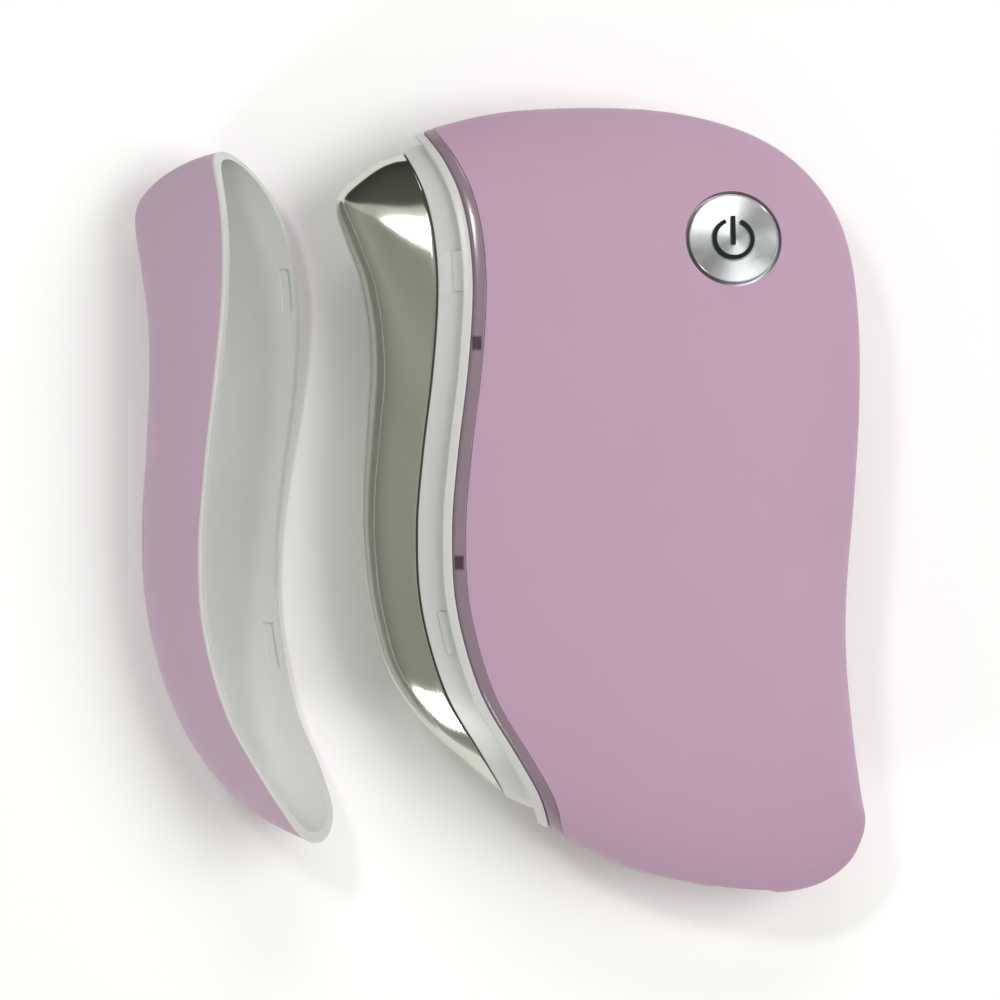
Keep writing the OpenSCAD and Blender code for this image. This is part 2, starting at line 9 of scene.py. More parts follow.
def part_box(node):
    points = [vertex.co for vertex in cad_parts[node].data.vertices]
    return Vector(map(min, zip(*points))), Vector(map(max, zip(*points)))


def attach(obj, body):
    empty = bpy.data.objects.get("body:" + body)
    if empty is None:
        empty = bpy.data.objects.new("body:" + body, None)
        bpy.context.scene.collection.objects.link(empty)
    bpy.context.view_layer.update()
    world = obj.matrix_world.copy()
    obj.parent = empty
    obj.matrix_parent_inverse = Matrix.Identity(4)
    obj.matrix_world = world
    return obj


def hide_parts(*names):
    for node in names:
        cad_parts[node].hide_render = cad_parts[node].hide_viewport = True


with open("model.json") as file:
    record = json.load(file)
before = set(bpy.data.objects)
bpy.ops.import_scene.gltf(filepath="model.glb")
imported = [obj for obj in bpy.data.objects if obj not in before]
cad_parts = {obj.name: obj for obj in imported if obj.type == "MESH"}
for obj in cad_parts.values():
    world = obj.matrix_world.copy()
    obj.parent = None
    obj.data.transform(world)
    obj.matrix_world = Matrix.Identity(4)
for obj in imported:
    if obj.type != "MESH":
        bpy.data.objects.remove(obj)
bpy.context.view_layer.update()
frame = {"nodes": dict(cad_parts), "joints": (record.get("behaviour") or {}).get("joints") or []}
scene = bpy.context.scene
mm = 0.001
print("frame loaded:", len(frame["nodes"]), "nodes")


# The massager's form, in millimetres: the outline with the cap on, counter-clockwise from the
# left, and the parting line between handle and head, from top to bottom.
form = {
    "outline": [
        (-39, 0), (-38.9, -7), (-37.9, -14), (-35.6, -21.5), (-32, -28.5), (-27, -34.2),
        (-20.5, -38.6), (-13, -41.4), (-8, -44), (-1.5, -47), (6.5, -49), (13, -50),
        (18.4, -50.2), (23.3, -49), (26.8, -46.4), (28.5, -43.2), (28.9, -40.6), (28.4, -38),
        (27.3, -30), (26.4, -20), (26.5, -11), (27.4, 0), (28.1, 12), (28, 23), (26.8, 32),
        (24.2, 38.3), (19.5, 43.6), (13, 47.3), (4, 49.6), (-6.4, 50.2), (-17, 49.7),
        (-24, 48.3), (-29, 46.8), (-33.5, 45.5), (-38, 43.2), (-41, 40.3), (-41.4, 37.3),
        (-40, 32), (-38.5, 25.5), (-38, 18), (-38.4, 9)],
    "bottomPoint": 7,      # where the parting line leaves the outline at the bottom
    "topPoint": 32,        # and at the top
    "parting": [
        (-31.4, 49.6), (-29, 46.9), (-26.3, 43.2), (-24.2, 38.6), (-23, 33), (-22.6, 26),
        (-23.2, 16.5), (-24.5, 5.5), (-25.2, -4), (-24.6, -14), (-21.6, -24.5), (-17, -32.5),
        (-14.2, -37.5), (-13, -41.5), (-12.6, -45)],
    "seam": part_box("front_shell")[0][2] / mm,     # height of the seam between the shells
    "bulge": 11.9,         # rise of each half above the seam
    "fullness": 2.5,       # how full a section is
    "shoulder": 2.3,       # how square its shoulder is
    "softAngle": 24,       # the middle follows the outline averaged over this angle each way
}


def alongPoints(points, s):
    # smooth open curve through the points, s from 0 to 1
    points = np.array(points, float)
    last = len(points) - 1
    s = np.clip(np.asarray(s, float), 0, 1) * last
    i = np.minimum(np.floor(s).astype(int), last - 1)
    a, b = points[np.maximum(i - 1, 0)], points[i]
    c, d = points[i + 1], points[np.minimum(i + 2, last)]
    return blendPoints(a, b, c, d, (s - i)[..., None])


def aroundPoints(points, s):
    # smooth closed curve, s counts its points
    points = np.array(points, float)
    n = len(points)
    i = np.floor(s).astype(int)
    a, b, c, d = (points[(i + k) % n] for k in (-1, 0, 1, 2))
    return blendPoints(a, b, c, d, (s - i)[..., None])


def blendPoints(a, b, c, d, t):
    return b + 0.5 * t * ((c - a) + t * ((2 * a - 5 * b + 4 * c - d) + t * (3 * (b - c) + d - a)))


edgeSteps = np.arange(0, len(form["outline"]) * 20 + 1) / 20
edgePoints = aroundPoints(form["outline"], edgeSteps)
edgeAngles = np.degrees(np.arctan2(edgePoints[:, 1], edgePoints[:, 0]))
edgeAngles[0], edgeAngles[-1] = -180, 180
edgeRadii = np.hypot(edgePoints[:, 0], edgePoints[:, 1])


def edgeRadius(angle):
    return np.interp((angle + 180) % 360 - 180, edgeAngles, edgeRadii)


def softRadius(angle):
    spread = np.linspace(-form["softAngle"], form["softAngle"], 9)
    return sum(edgeRadius(angle + k) for k in spread) / len(spread)


def halfThickness(x, y, depth=0.0):
    # rise of the surface above the seam, for the outer skin or one set in by a depth
    angle, r = np.degrees(np.arctan2(y, x)), np.hypot(x, y)
    edge, soft = edgeRadius(angle), softRadius(angle)
    reach = r / (soft + (edge - soft) * np.minimum(1, r / (edge - depth)) ** 6 - depth)
    share = np.maximum(0, 1 - reach ** form["fullness"]) ** (1 / form["shoulder"])
    return (form["bulge"] - depth) * share


def partingAt(s, dx):
    return alongPoints(form["parting"], s) + np.array([dx, 0])


def partingEnds(dx, depth):
    # where the line, moved right by dx, meets the skin set in by that depth
    found = []
    for inside, outside in ((0.3, 0.0), (0.7, 1.0)):
        for _ in range(24):
            middle = (inside + outside) / 2
            x, y = partingAt(middle, dx)
            if math.hypot(x, y) > edgeRadius(math.degrees(math.atan2(y, x))) - depth:
                outside = middle
            else:
                inside = middle
        found.append(inside)
    return found


def rowPlaces(count):
    # rows stand closer near the ends, where every surface turns over
    i = np.linspace(0, 1, count + 1)
    return 0.4 * i + 0.6 * (1 - np.cos(np.pi * i)) / 2


def outlineAngle(side, v):
    n = len(form["outline"])
    top, low = form["topPoint"], form["bottomPoint"]
    p = aroundPoints(form["outline"], (top + (low - top if side > 0 else low + n - top) * v) % n)
    angle = np.degrees(np.arctan2(p[..., 1], p[..., 0]))
    return np.where((side < 0) & (angle < 0), angle + 360, angle)


def planGrid(side, dx, depth, rows, across):
    # rows from the parting line out to the edge of the handle (side 1) or the cap (side -1)
    ends = partingEnds(dx, depth)
    v = rowPlaces(rows)
    line = partingAt(ends[0] + (ends[1] - ends[0]) * v, dx)
    tips = np.degrees(np.arctan2(line[[0, -1], 1], line[[0, -1], 0]))
    if side < 0:
        tips = np.where(tips < 0, tips + 360, tips)
    run = outlineAngle(side, v)
    angle = tips[0] + (run - run[0]) * (tips[1] - tips[0]) / (run[-1] - run[0])
    radius = edgeRadius(angle) - depth
    edge = np.stack([radius * np.cos(np.radians(angle)), radius * np.sin(np.radians(angle))], -1)
    edge[[0, -1]] = line[[0, -1]]
    return line[:, None] + (edge - line)[:, None] * np.asarray(across)[None, :, None]


def deselectAll():
    if bpy.context.mode != "OBJECT":
        bpy.ops.object.mode_set(mode="OBJECT")
    bpy.ops.object.select_all(action="DESELECT")


def editAll(piece):
    # into edit mode with everything selected
    deselectAll()
    bpy.context.view_layer.objects.active = piece
    piece.select_set(True)
    bpy.ops.object.mode_set(mode="EDIT")
    bpy.ops.mesh.select_all(action="SELECT")


def gridPiece(name, points):
    # a grid primitive whose vertices are set to rows and columns of points in millimetres
    rows, columns = points.shape[:2]
    deselectAll()
    bpy.ops.mesh.primitive_grid_add(x_subdivisions=columns - 1, y_subdivisions=rows - 1, size=1)
    piece = bpy.context.object
    piece.name = name
    piece.data.vertices.foreach_set("co", (points.reshape(-1, 3) * mm).ravel())
    editAll(piece)
    bpy.ops.mesh.remove_doubles(threshold=0.002 * mm)
    bpy.ops.mesh.normals_make_consistent(inside=False)
    bpy.ops.object.mode_set(mode="OBJECT")
    return piece


def faceOutwards(piece, probe):
    # turns an open skin over if the face nearest the probe point doesn't look along the probe
    place, along = Vector(probe[0]) * mm, Vector(probe[1])
    near = min(piece.data.polygons, key=lambda f: (f.center - place).length)
    if near.normal.dot(along) < 0:
        editAll(piece)
        bpy.ops.mesh.flip_normals()
        bpy.ops.object.mode_set(mode="OBJECT")


def applyModifier(piece, kind, **settings):
    deselectAll()
    bpy.context.view_layer.objects.active = piece
    piece.select_set(True)
    modifier = piece.modifiers.new(kind.lower(), kind)
    for key, value in settings.items():
        setattr(modifier, key, value)
    bpy.ops.object.modifier_apply(modifier=modifier.name)


def thicken(piece, wall, edge=0.2):
    # a wall inwards from the skin, then a small round along its edges
    applyModifier(piece, "SOLIDIFY", thickness=wall * mm, offset=-1, use_even_offset=True)
    roundEdges(piece, edge)


def roundEdges(piece, width, degrees=40, segments=3):
    applyModifier(piece, "BEVEL", width=width * mm, segments=segments, limit_method="ANGLE",
                  angle_limit=math.radians(degrees), harden_normals=False, use_clamp_overlap=True)


def smooth(piece, degrees=35):
    deselectAll()
    bpy.context.view_layer.objects.active = piece
    piece.select_set(True)
    bpy.ops.object.shade_smooth_by_angle(angle=math.radians(degrees))


def cutWith(piece, cutters):
    for cutter in cutters:
        applyModifier(piece, "BOOLEAN", operation="DIFFERENCE", object=cutter, solver="EXACT")
        bpy.data.objects.remove(cutter)


def place(piece, matrix):
    # moves the mesh, so that the object stays at the origin
    piece.data.transform(matrix)
    piece.data.update()


def settle(piece, body, node, finish):
    # the piece rides on its body, stands for its node and wears its finish
    piece.data.materials.clear()
    piece.data.materials.append(finish)
    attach(piece, body)
    if node:
        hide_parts(node)
    return piece


# Materials

def toLinear(hexColour):
    parts = [int(hexColour[i:i + 2], 16) / 255 for i in (1, 3, 5)]
    return tuple(c / 12.92 if c <= 0.04045 else ((c + 0.055) / 1.055) ** 2.4 for c in parts) + (1,)


def addNode(tree, kind, links=None, **settings):
    # a node with its attributes and socket values, linked from other nodes' sockets
    node = tree.nodes.new("ShaderNode" + kind)
    for key, value in settings.items():
        if key in node.inputs:
            node.inputs[key].default_value = value
        elif hasattr(node, key):
            setattr(node, key, value)
    for key, source in (links or {}).items():
        tree.links.new(source, node.inputs[key])
    return node


def newFinish(name, colour, values):
    finish = bpy.data.materials.new(name)
    finish.use_nodes = True
    tree = finish.node_tree
    shader = tree.nodes["Principled BSDF"]
    shader.inputs["Base Color"].default_value = toLinear(colour)
    for key, value in values.items():
        shader.inputs[key].default_value = value
    place = addNode(tree, "TexCoord").outputs["Object"]
    return finish, tree, shader, place


def socketNamed(sockets, identifier):
    # the Mix node has sockets that share a name, so they are told apart by identifier
    return next(k for k in sockets if k.identifier == identifier)


def tone(tree, shader, place, low, high, size, detail=2.0):
    # a slow drift between two close colours, in patches of a size in millimetres
    noise = addNode(tree, "TexNoise", {"Vector": place}, Scale=1 / (size * mm), Detail=detail)
    mix = addNode(tree, "Mix", {"Factor": noise.outputs["Fac"]}, data_type="RGBA")
    socketNamed(mix.inputs, "A_Color").default_value = toLinear(low)
    socketNamed(mix.inputs, "B_Color").default_value = toLinear(high)
    tint = socketNamed(mix.outputs, "Result_Color")
    tree.links.new(tint, shader.inputs["Base Color"])
    return tint


def grain(tree, shader, place, size, height, strength=1.0, detail=3.0):
    # raised grain of a size and height in millimetres
    noise = addNode(tree, "TexNoise", {"Vector": place}, Scale=1 / (size * mm), Detail=detail)
    bump = addNode(tree, "Bump", {"Height": noise.outputs["Fac"]}, Strength=strength,
                   Distance=height * mm)
    tree.links.new(bump.outputs["Normal"], shader.inputs["Normal"])
    return bump


def uneven(tree, shader, place, low, high, size):
    # gloss that wanders between two roughnesses
    noise = addNode(tree, "TexNoise", {"Vector": place}, Scale=1 / (size * mm), Detail=3.0)
    span = addNode(tree, "MapRange", {"Value": noise.outputs["Fac"]})
    span.inputs["From Min"].default_value, span.inputs["From Max"].default_value = 0.3, 0.7
    span.inputs["To Min"].default_value, span.inputs["To Max"].default_value = low, high
    tree.links.new(span.outputs["Result"], shader.inputs["Roughness"])


def softTouchPaint(name, low, high):
    # rubbery matt paint on ABS: no mirror at all, a faint bloom at grazing angles, fine grit
    finish, tree, shader, place = newFinish(name, low, {
        "IOR": 1.46, "Sheen Weight": 0.12, "Sheen Roughness": 0.45, "Specular IOR Level": 0.35})
    tone(tree, shader, place, low, high, 14)
    uneven(tree, shader, place, 0.56, 0.66, 4)
    grain(tree, shader, place, 0.12, 0.004, 0.6)
    return finish


def mouldedAbs(name, low, high, roughness, grit=0.003):
    # injection-moulded ABS straight from the tool: even colour, soft shine, slight flow ripple
    finish, tree, shader, place = newFinish(name, low, {
        "IOR": 1.54, "Subsurface Weight": 0.08, "Subsurface Scale": 0.6 * mm})
    tone(tree, shader, place, low, high, 9)
    uneven(tree, shader, place, roughness - 0.02, roughness + 0.02, 5)
    grain(tree, shader, place, 0.3, grit, 0.5)
    return finish


def smokedPolycarbonate(name, lampShadeSpots, size):
    # clear plastic tinted purple-grey, polished; painted shade makes it darker where an unlit lamp
    # lies under it, standing in for the dark lamp seen through the plastic
    finish, tree, shader, place = newFinish(name, "#a08c99", {
        "IOR": 1.585, "Transmission Weight": 0.35})
    tint = tone(tree, shader, place, "#9a8593", "#a892a0", 7)
    for lamp in lampShadeSpots:
        away = addNode(tree, "VectorMath", {0: place}, operation="SUBTRACT")
        away.inputs[1].default_value = lamp
        share = addNode(tree, "VectorMath", {0: away.outputs["Vector"]}, operation="DIVIDE")
        share.inputs[1].default_value = [k * mm / 2 for k in size]
        far = addNode(tree, "VectorMath", {0: share.outputs["Vector"]}, operation="ABSOLUTE")
        parts = addNode(tree, "SeparateXYZ", {0: far.outputs["Vector"]})
        most = addNode(tree, "Math", {0: parts.outputs["X"], 1: parts.outputs["Y"]},
                       operation="MAXIMUM")
        # painted shade mask: full over a lamp, fading out round its edge
        inside = addNode(tree, "MapRange", {"Value": most.outputs["Value"]})
        inside.inputs["From Min"].default_value, inside.inputs["From Max"].default_value = 0.8, 1.15
        inside.inputs["To Min"].default_value, inside.inputs["To Max"].default_value = 1, 0
        mix = addNode(tree, "Mix", {"Factor": inside.outputs["Result"]}, data_type="RGBA")
        tree.links.new(tint, socketNamed(mix.inputs, "A_Color"))
        # colour of the painted shade over a lamp
        socketNamed(mix.inputs, "B_Color").default_value = toLinear("#54404f")
        tint = socketNamed(mix.outputs, "Result_Color")
        tree.links.new(tint, shader.inputs["Base Color"])
    uneven(tree, shader, place, 0.15, 0.25, 6)
    grain(tree, shader, place, 1.5, 0.004, 0.3)
    return finish


def chromePlate(name, colour):
    # nickel-chrome over a polished casting: a clear mirror with hairline polishing marks
    finish, tree, shader, place = newFinish(name, colour, {"Metallic": 1.0})
    uneven(tree, shader, place, 0.055, 0.10, 8)
    stretch = addNode(tree, "Mapping", {"Vector": place})
    stretch.inputs["Scale"].default_value = (1, 0.08, 1)
    grain(tree, shader, stretch.outputs["Vector"], 0.25, 0.0006, 0.5)
    return finish


def spunAluminium(name, centre, turn, axis):
    # turned on a lathe: its grooves run round its own axis and spread the light into bright
    # sectors; they are pitched wider than real so that they show
    finish, tree, shader, place = newFinish(name, "#c2c5c7", {
        "Metallic": 1.0, "Anisotropic": 0.6, "Anisotropic Rotation": 0.25})
    local = addNode(tree, "Mapping", {"Vector": place}, vector_type="TEXTURE")
    local.inputs["Location"].default_value = centre
    local.inputs["Rotation"].default_value = turn
    flat = addNode(tree, "VectorMath", {0: local.outputs["Vector"]}, operation="MULTIPLY")
    flat.inputs[1].default_value = (1, 1, 0)
    radius = addNode(tree, "VectorMath", {0: flat.outputs["Vector"]}, operation="LENGTH")
    rings = addNode(tree, "Math", {0: radius.outputs["Value"]}, operation="MULTIPLY")
    rings.inputs[1].default_value = 2 * math.pi / (0.14 * mm)
    wave = addNode(tree, "Math", {0: rings.outputs["Value"]}, operation="SINE")
    bump = addNode(tree, "Bump", {"Height": wave.outputs["Value"]}, Strength=0.4,
                   Distance=0.0015 * mm)
    tree.links.new(bump.outputs["Normal"], shader.inputs["Normal"])
    outward = addNode(tree, "VectorMath", {0: place}, operation="SUBTRACT")
    outward.inputs[1].default_value = centre
    around = addNode(tree, "VectorMath", {0: outward.outputs["Vector"]}, operation="CROSS_PRODUCT")
    around.inputs[1].default_value = axis
    tree.links.new(around.outputs["Vector"], shader.inputs["Tangent"])
    uneven(tree, shader, place, 0.27, 0.33, 1.5)
    return finish


def printedInk(name):
    # pad-printed epoxy ink: nearly black with a green cast, a little gloss
    finish, tree, shader, place = newFinish(name, "#0f1614", {
        "IOR": 1.5, "Specular IOR Level": 0.15})
    tone(tree, shader, place, "#0d1412", "#151d1a", 0.8)
    uneven(tree, shader, place, 0.32, 0.45, 0.5)
    return finish


def siliconeRubber(name, low, high):
    # matt moulded silicone
    finish, tree, shader, place = newFinish(name, low, {"IOR": 1.43})
    tone(tree, shader, place, low, high, 3)
    uneven(tree, shader, place, 0.5, 0.65, 2)
    grain(tree, shader, place, 0.1, 0.004, 0.5)
    return finish


def plainMetal(name, low, high, roughness, mark=0.2):
    # turned, drawn or plated small metal parts
    finish, tree, shader, place = newFinish(name, low, {"Metallic": 1.0})
    tone(tree, shader, place, low, high, 1.5)
    uneven(tree, shader, place, roughness - 0.06, roughness + 0.08, 0.8)
    grain(tree, shader, place, mark, 0.002, 0.5)
    return finish


def plainPlastic(name, low, high, roughness, size=1.0):
    # small moulded, coated or printed parts inside
    finish, tree, shader, place = newFinish(name, low, {"IOR": 1.5})
    tone(tree, shader, place, low, high, size)
    uneven(tree, shader, place, roughness - 0.05, roughness + 0.07, size)
    grain(tree, shader, place, 0.15, 0.003, 0.5)
    return finish


pinkHandle = softTouchPaint("softTouchPinkAbs", "#b292a9", "#b696ad")
# the cap wears the handle's soft-touch paint, painted lighter: painted light that makes up for the
# light its tilted face misses; it is also a touch greyer
pinkCapPaintedLighter = softTouchPaint("softTouchPinkCapPaintedLighter", "#b49bae", "#b89fb2")
collarAbs = mouldedAbs("whiteAbsCollar", "#c4c4c3", "#c9c9c8", 0.3)
linerAbs = mouldedAbs("whiteAbsLiner", "#c9cac8", "#d0d1cf", 0.42)
innerAbs = mouldedAbs("whiteAbsInner", "#cfcfcd", "#d6d6d4", 0.4)
headChrome = chromePlate("chromePlatedZinc", "#cfcfc6")
gasketRubber = siliconeRubber("greySilicone", "#444442", "#4c4c4a")
ink = printedInk("printedInk")
print("materials made")


# Handle shells

handle = {
    "rows": 150,          # grid rows from top to bottom
    "columns": 72,        # and from the parting line to the edge
    "wall": 1.8,
    "rim": 1.25,          # width of the collar's rim
    "ring": 1.7,          # width of the light ring
    "line": 0.05,         # fine gap at the ring
    "edge": 0.22,         # round on the shells' edges
}
handleStart = handle["rim"] + handle["ring"] + handle["line"]
seam = form["seam"]


def handleSkin(name, up):
    across = np.sin(np.linspace(0, math.pi / 2, handle["columns"] + 1))
    plan = planGrid(1, handleStart, 0, handle["rows"], across)
    z = seam + up * halfThickness(plan[..., 0], plan[..., 1])
    return gridPiece(name, np.dstack([plan, z[..., None]]))


pressJoint = next(j for j in frame["joints"] if j["name"] == "button_press")
pressAxis = -Vector(pressJoint["axis"]).normalized()
button = {
    "x": 11.75, "y": 33.2,   # its middle on the plan
    "diameter": 11.5,
    "gap": 0.45,
    "face": -0.15,        # rim of its face, below the crown of the shell
    "dish": 0.42,         # depth of its hollow face
    "lip": 0.2,           # width of the bright rim
    "skirt": -2.3,
    "segments": 128,
}
buttonTop = Vector((button["x"], button["y"],
                    seam + float(halfThickness(button["x"], button["y"])))) * mm
buttonTurn = Vector((0, 0, 1)).rotation_difference(pressAxis)
buttonPlace = Matrix.Translation(buttonTop) @ buttonTurn.to_matrix().to_4x4()

port = {"x": 13, "width": 8.9, "height": 3.2, "slack": 0.3}


def buttonCutter():
    deselectAll()
    bpy.ops.mesh.primitive_cylinder_add(vertices=button["segments"], depth=16 * mm,
                                        radius=(button["diameter"] / 2 + button["gap"]) * mm)
    cutter = bpy.context.object
    place(cutter, buttonPlace)
    return cutter


def tableCutter():
    # everything below the table, which leaves the flat that the massager rests on
    deselectAll()
    bpy.ops.mesh.primitive_cube_add(size=1)
    cutter = bpy.context.object
    place(cutter, Matrix.Translation((0, 0, -10 * mm)) @ Matrix.Diagonal((0.2, 0.2, 0.02, 1)))
    return cutter


def portCutter():
    # a long bar with round sides through the end of the handle
    radius = (port["height"] + port["slack"]) / 2
    reach = (port["width"] - port["height"]) / 2
    deselectAll()
    bpy.ops.mesh.primitive_circle_add(vertices=64, radius=radius * mm, fill_type="NGON")
    cutter = bpy.context.object
    for vertex in cutter.data.vertices:
        vertex.co.x += math.copysign(reach * mm, vertex.co.x) if abs(vertex.co.x) > 1e-7 else 0
    editAll(cutter)
    bpy.ops.mesh.extrude_region_move(TRANSFORM_OT_translate={"value": (0, 0, 14 * mm)})
    bpy.ops.mesh.select_all(action="SELECT")
    bpy.ops.mesh.normals_make_consistent(inside=False)
    bpy.ops.object.mode_set(mode="OBJECT")
    place(cutter, Matrix.Translation(Vector((port["x"], -42, seam)) * mm)
          @ Matrix.Rotation(math.radians(90), 4, "X"))
    return cutter


frontShell = handleSkin("frontShell", 1)
faceOutwards(frontShell, ((0, 0, 24), (0, 0, 1)))
applyModifier(frontShell, "SOLIDIFY", thickness=handle["wall"] * mm, offset=-1,
              use_even_offset=True)
cutWith(frontShell, [buttonCutter(), portCutter()])
roundEdges(frontShell, handle["edge"])
smooth(frontShell)
settle(frontShell, "handle", "front_shell", pinkHandle)

backShell = handleSkin("backShell", -1)
faceOutwards(backShell, ((0, 0, 0), (0, 0, -1)))
applyModifier(backShell, "SOLIDIFY", thickness=handle["wall"] * mm, offset=-1,
              use_even_offset=True)
cutWith(backShell, [tableCutter(), portCutter()])
roundEdges(backShell, handle["edge"])
smooth(backShell)
settle(backShell, "handle", "back_shell", pinkHandle)
print("handle shells made")


# Ring and collar

bandSteps = 150


def bandPiece(name, section, edge):
    # a closed band down the front along the parting line and up the back; each point of its
    # section is (distance right of the line, depth below the outer skin)
    v = rowPlaces(bandSteps)
    columns = []
    for dx, depth in section + section[:1]:
        ends = partingEnds(dx, depth)
        line = partingAt(ends[0] + (ends[1] - ends[0]) * v, dx)
        rise = halfThickness(line[:, 0], line[:, 1], depth)
        front = np.column_stack([line, seam + rise])
        back = np.column_stack([line, seam - rise])[::-1]
        columns.append(np.concatenate([front, back[1:]]))
    piece = gridPiece(name, np.stack(columns, 1))
    if edge:
        roundEdges(piece, edge, 30)
    smooth(piece, 40)
    return piece


collar = {"sleeve": 3.12, "step": 1.5, "taper": 0.3, "seat": 1.3, "tongue": 1.95, "inside": 3.1,
          "tongueLength": 2.0, "edge": 0.16}
ringEdge = handle["rim"] + handle["ring"]

ring = {
    "start": handle["rim"] + handle["line"],
    "chamfer": (0.42, 0.3),
    "depth": 1.2,
    "edge": 0.08,
    "lampShadePlaces": (0.405, 0.6),   # where the painted shade over the lamps stands along the parting line
    # size of each patch of painted shade over a lamp, in millimetres
    "lampShadeSize": (1.2, 1.8, 1),
}
ringMiddle = handle["rim"] + handle["ring"] / 2
# centres of the painted shade over the lamps, on the ring
lampShadeSpots = [tuple(partingAt(s, ringMiddle) * mm) + (0,) for s in ring["lampShadePlaces"]]
smoke = smokedPolycarbonate("smokedPolycarbonate", lampShadeSpots, ring["lampShadeSize"])
lightRing = bandPiece("lightRing", [
    (ring["start"], ring["chamfer"][1]), (ring["start"] + ring["chamfer"][0], 0), (ringEdge, 0),
    (ringEdge, ring["depth"]), (ring["start"], ring["depth"])], ring["edge"])
settle(lightRing, "handle", "light_ring", smoke)

catch = {
    "spans": [(31.6, 26.5), (-14.2, -19.6)],   # where each catch starts and ends along Y
    "reach": 1.25,        # its width on the sleeve, from the rim
    "top": 1.3,           # its crown, below the outer skin
    "root": 2,            # how deep it is sunk in the sleeve
    "bevel": 0.12,
    "overlap": 0.2,       # how far it runs into the rim
    "grooveFrom": 1.0,    # the matching groove in the cap's liner, below the outer skin,
    "grooveTo": 1.5,      # and to here
    "grooveAcross": (0.9, 0.75),   # its far side beyond the catch, its near side from the line
    "slack": 0.15,        # room around a catch in its groove
}


def partingPlace(y):
    s = np.linspace(0, 1, 2001)
    return float(np.interp(-y, -partingAt(s, 0)[:, 1], s))


def catchBlock(section, span, up):
    # a short closed bar that follows the parting line on the front (up 1) or the back (-1)
    s = np.linspace(partingPlace(span[0]), partingPlace(span[1]), 25)
    columns = []
    for dx, depth in section + section[:1]:
        line = partingAt(s, dx)
        z = seam + up * halfThickness(line[:, 0], line[:, 1], depth)
        columns.append(np.column_stack([line, z]))
    block = gridPiece("catch", np.stack(columns, 1))
    editAll(block)
    bpy.ops.mesh.select_all(action="DESELECT")
    bpy.ops.mesh.select_non_manifold()
    bpy.ops.mesh.edge_face_add()
    bpy.ops.mesh.select_all(action="SELECT")
    bpy.ops.mesh.normals_make_consistent(inside=False)
    bpy.ops.object.mode_set(mode="OBJECT")
    return block


def catchBlocks(section, grow):
    return [catchBlock(section, (top + grow, low - grow), up)
            for top, low in catch["spans"] for up in (1, -1)]


collarPiece = bandPiece("collar", [
    (-collar["sleeve"], collar["step"] + collar["taper"]), (0, collar["step"]), (0, 0),
    (handle["rim"], 0), (handle["rim"], collar["seat"]), (ringEdge, collar["seat"]),
    (ringEdge, collar["tongue"]), (ringEdge + collar["tongueLength"], collar["tongue"]),
    (ringEdge + collar["tongueLength"], collar["inside"]), (-collar["sleeve"], collar["inside"])],
    collar["edge"])
for block in catchBlocks([
        (-catch["reach"], catch["root"]), (-catch["reach"], catch["top"] + catch["bevel"]),
        (-catch["reach"] + catch["bevel"], catch["top"]), (catch["overlap"], catch["top"]),
        (catch["overlap"], catch["root"])], 0):
    applyModifier(collarPiece, "BOOLEAN", operation="UNION", object=block, solver="EXACT")
    bpy.data.objects.remove(block)
smooth(collarPiece, 40)
settle(collarPiece, "handle", "collar", collarAbs)

print("ring and collar made")


# Metal head

head = {
    "edgeLine": [
        (-33.5, 43.2), (-36.5, 41.2), (-38.5, 39.2), (-38.9, 37), (-37.7, 33), (-36, 28),
        (-35, 22), (-34.8, 16), (-35.2, 9), (-35.7, 1), (-35.6, -6), (-34.6, -14), (-32.3, -22),
        (-28, -28.4), (-22.6, -33.3)],
    "start": -3.4,        # its seam, left of the parting line
    "depth": 2.2,         # its seam, below the outer skin
    "wall": 1.2,
    "rows": 170,
    "columns": 40,        # on each face
    "taper": 0.5,         # loss of thickness from the seam to the free edge
    "nose": 7.0,          # how late the free edge rounds over
    "roundness": 2.2,
}


def headGrid():
    ends = partingEnds(head["start"], head["depth"])
    v = rowPlaces(head["rows"])
    line = partingAt(ends[0] + (ends[1] - ends[0]) * v, head["start"])
    free = alongPoints([tuple(line[0])] + head["edgeLine"] + [tuple(line[-1])], v)
    rise = halfThickness(line[:, 0], line[:, 1], head["depth"])
    j = np.arange(-head["columns"], head["columns"] + 1) / head["columns"]
    t = 1 - np.abs(j) ** 1.5
    rounded = np.maximum(0, 1 - t ** head["nose"]) ** (1 / head["roundness"])
    wedge = (1 - head["taper"] * t) * rounded
    plan = line[:, None] + (free - line)[:, None] * t[None, :, None]
    z = seam - np.sign(j)[None, :] * rise[:, None] * wedge[None, :]
    return np.dstack([plan, z[..., None]])


massageHead = gridPiece("massageHead", headGrid())
faceOutwards(massageHead, ((-31, 0, 18), (0, 0, 1)))
thicken(massageHead, head["wall"], 0.3)
smooth(massageHead, 50)
settle(massageHead, "handle", "massage_head", headChrome)
gasket = bandPiece("headGasket", [
    (head["start"] + 0.04, 2.35), (-collar["sleeve"] - 0.03, 2.35),
    (-collar["sleeve"] - 0.03, 3.1), (head["start"] + 0.04, 3.1)], 0)
settle(gasket, "handle", "head_gasket", gasketRubber)
print("metal head and gasket made")


# Power button

def buttonFace():
    # a turned disc: a ring of profile points spun round the button's axis
    r = button["diameter"] / 2
    face, dish, lip = button["face"], button["dish"], button["lip"]
    hollow = [(r - lip) * k / 12 for k in range(13)]
    profile = [(x, face - 0.06 - dish * (1 - (x / (r - lip)) ** 2)) for x in hollow]
    profile += [(r - lip + 0.05, face), (r - 0.07, face), (r, face - 0.07), (r, -1.75), (7, -1.75),
                (7, button["skirt"]), (0, button["skirt"])]
    return spunPiece("powerButton", profile, button["segments"])


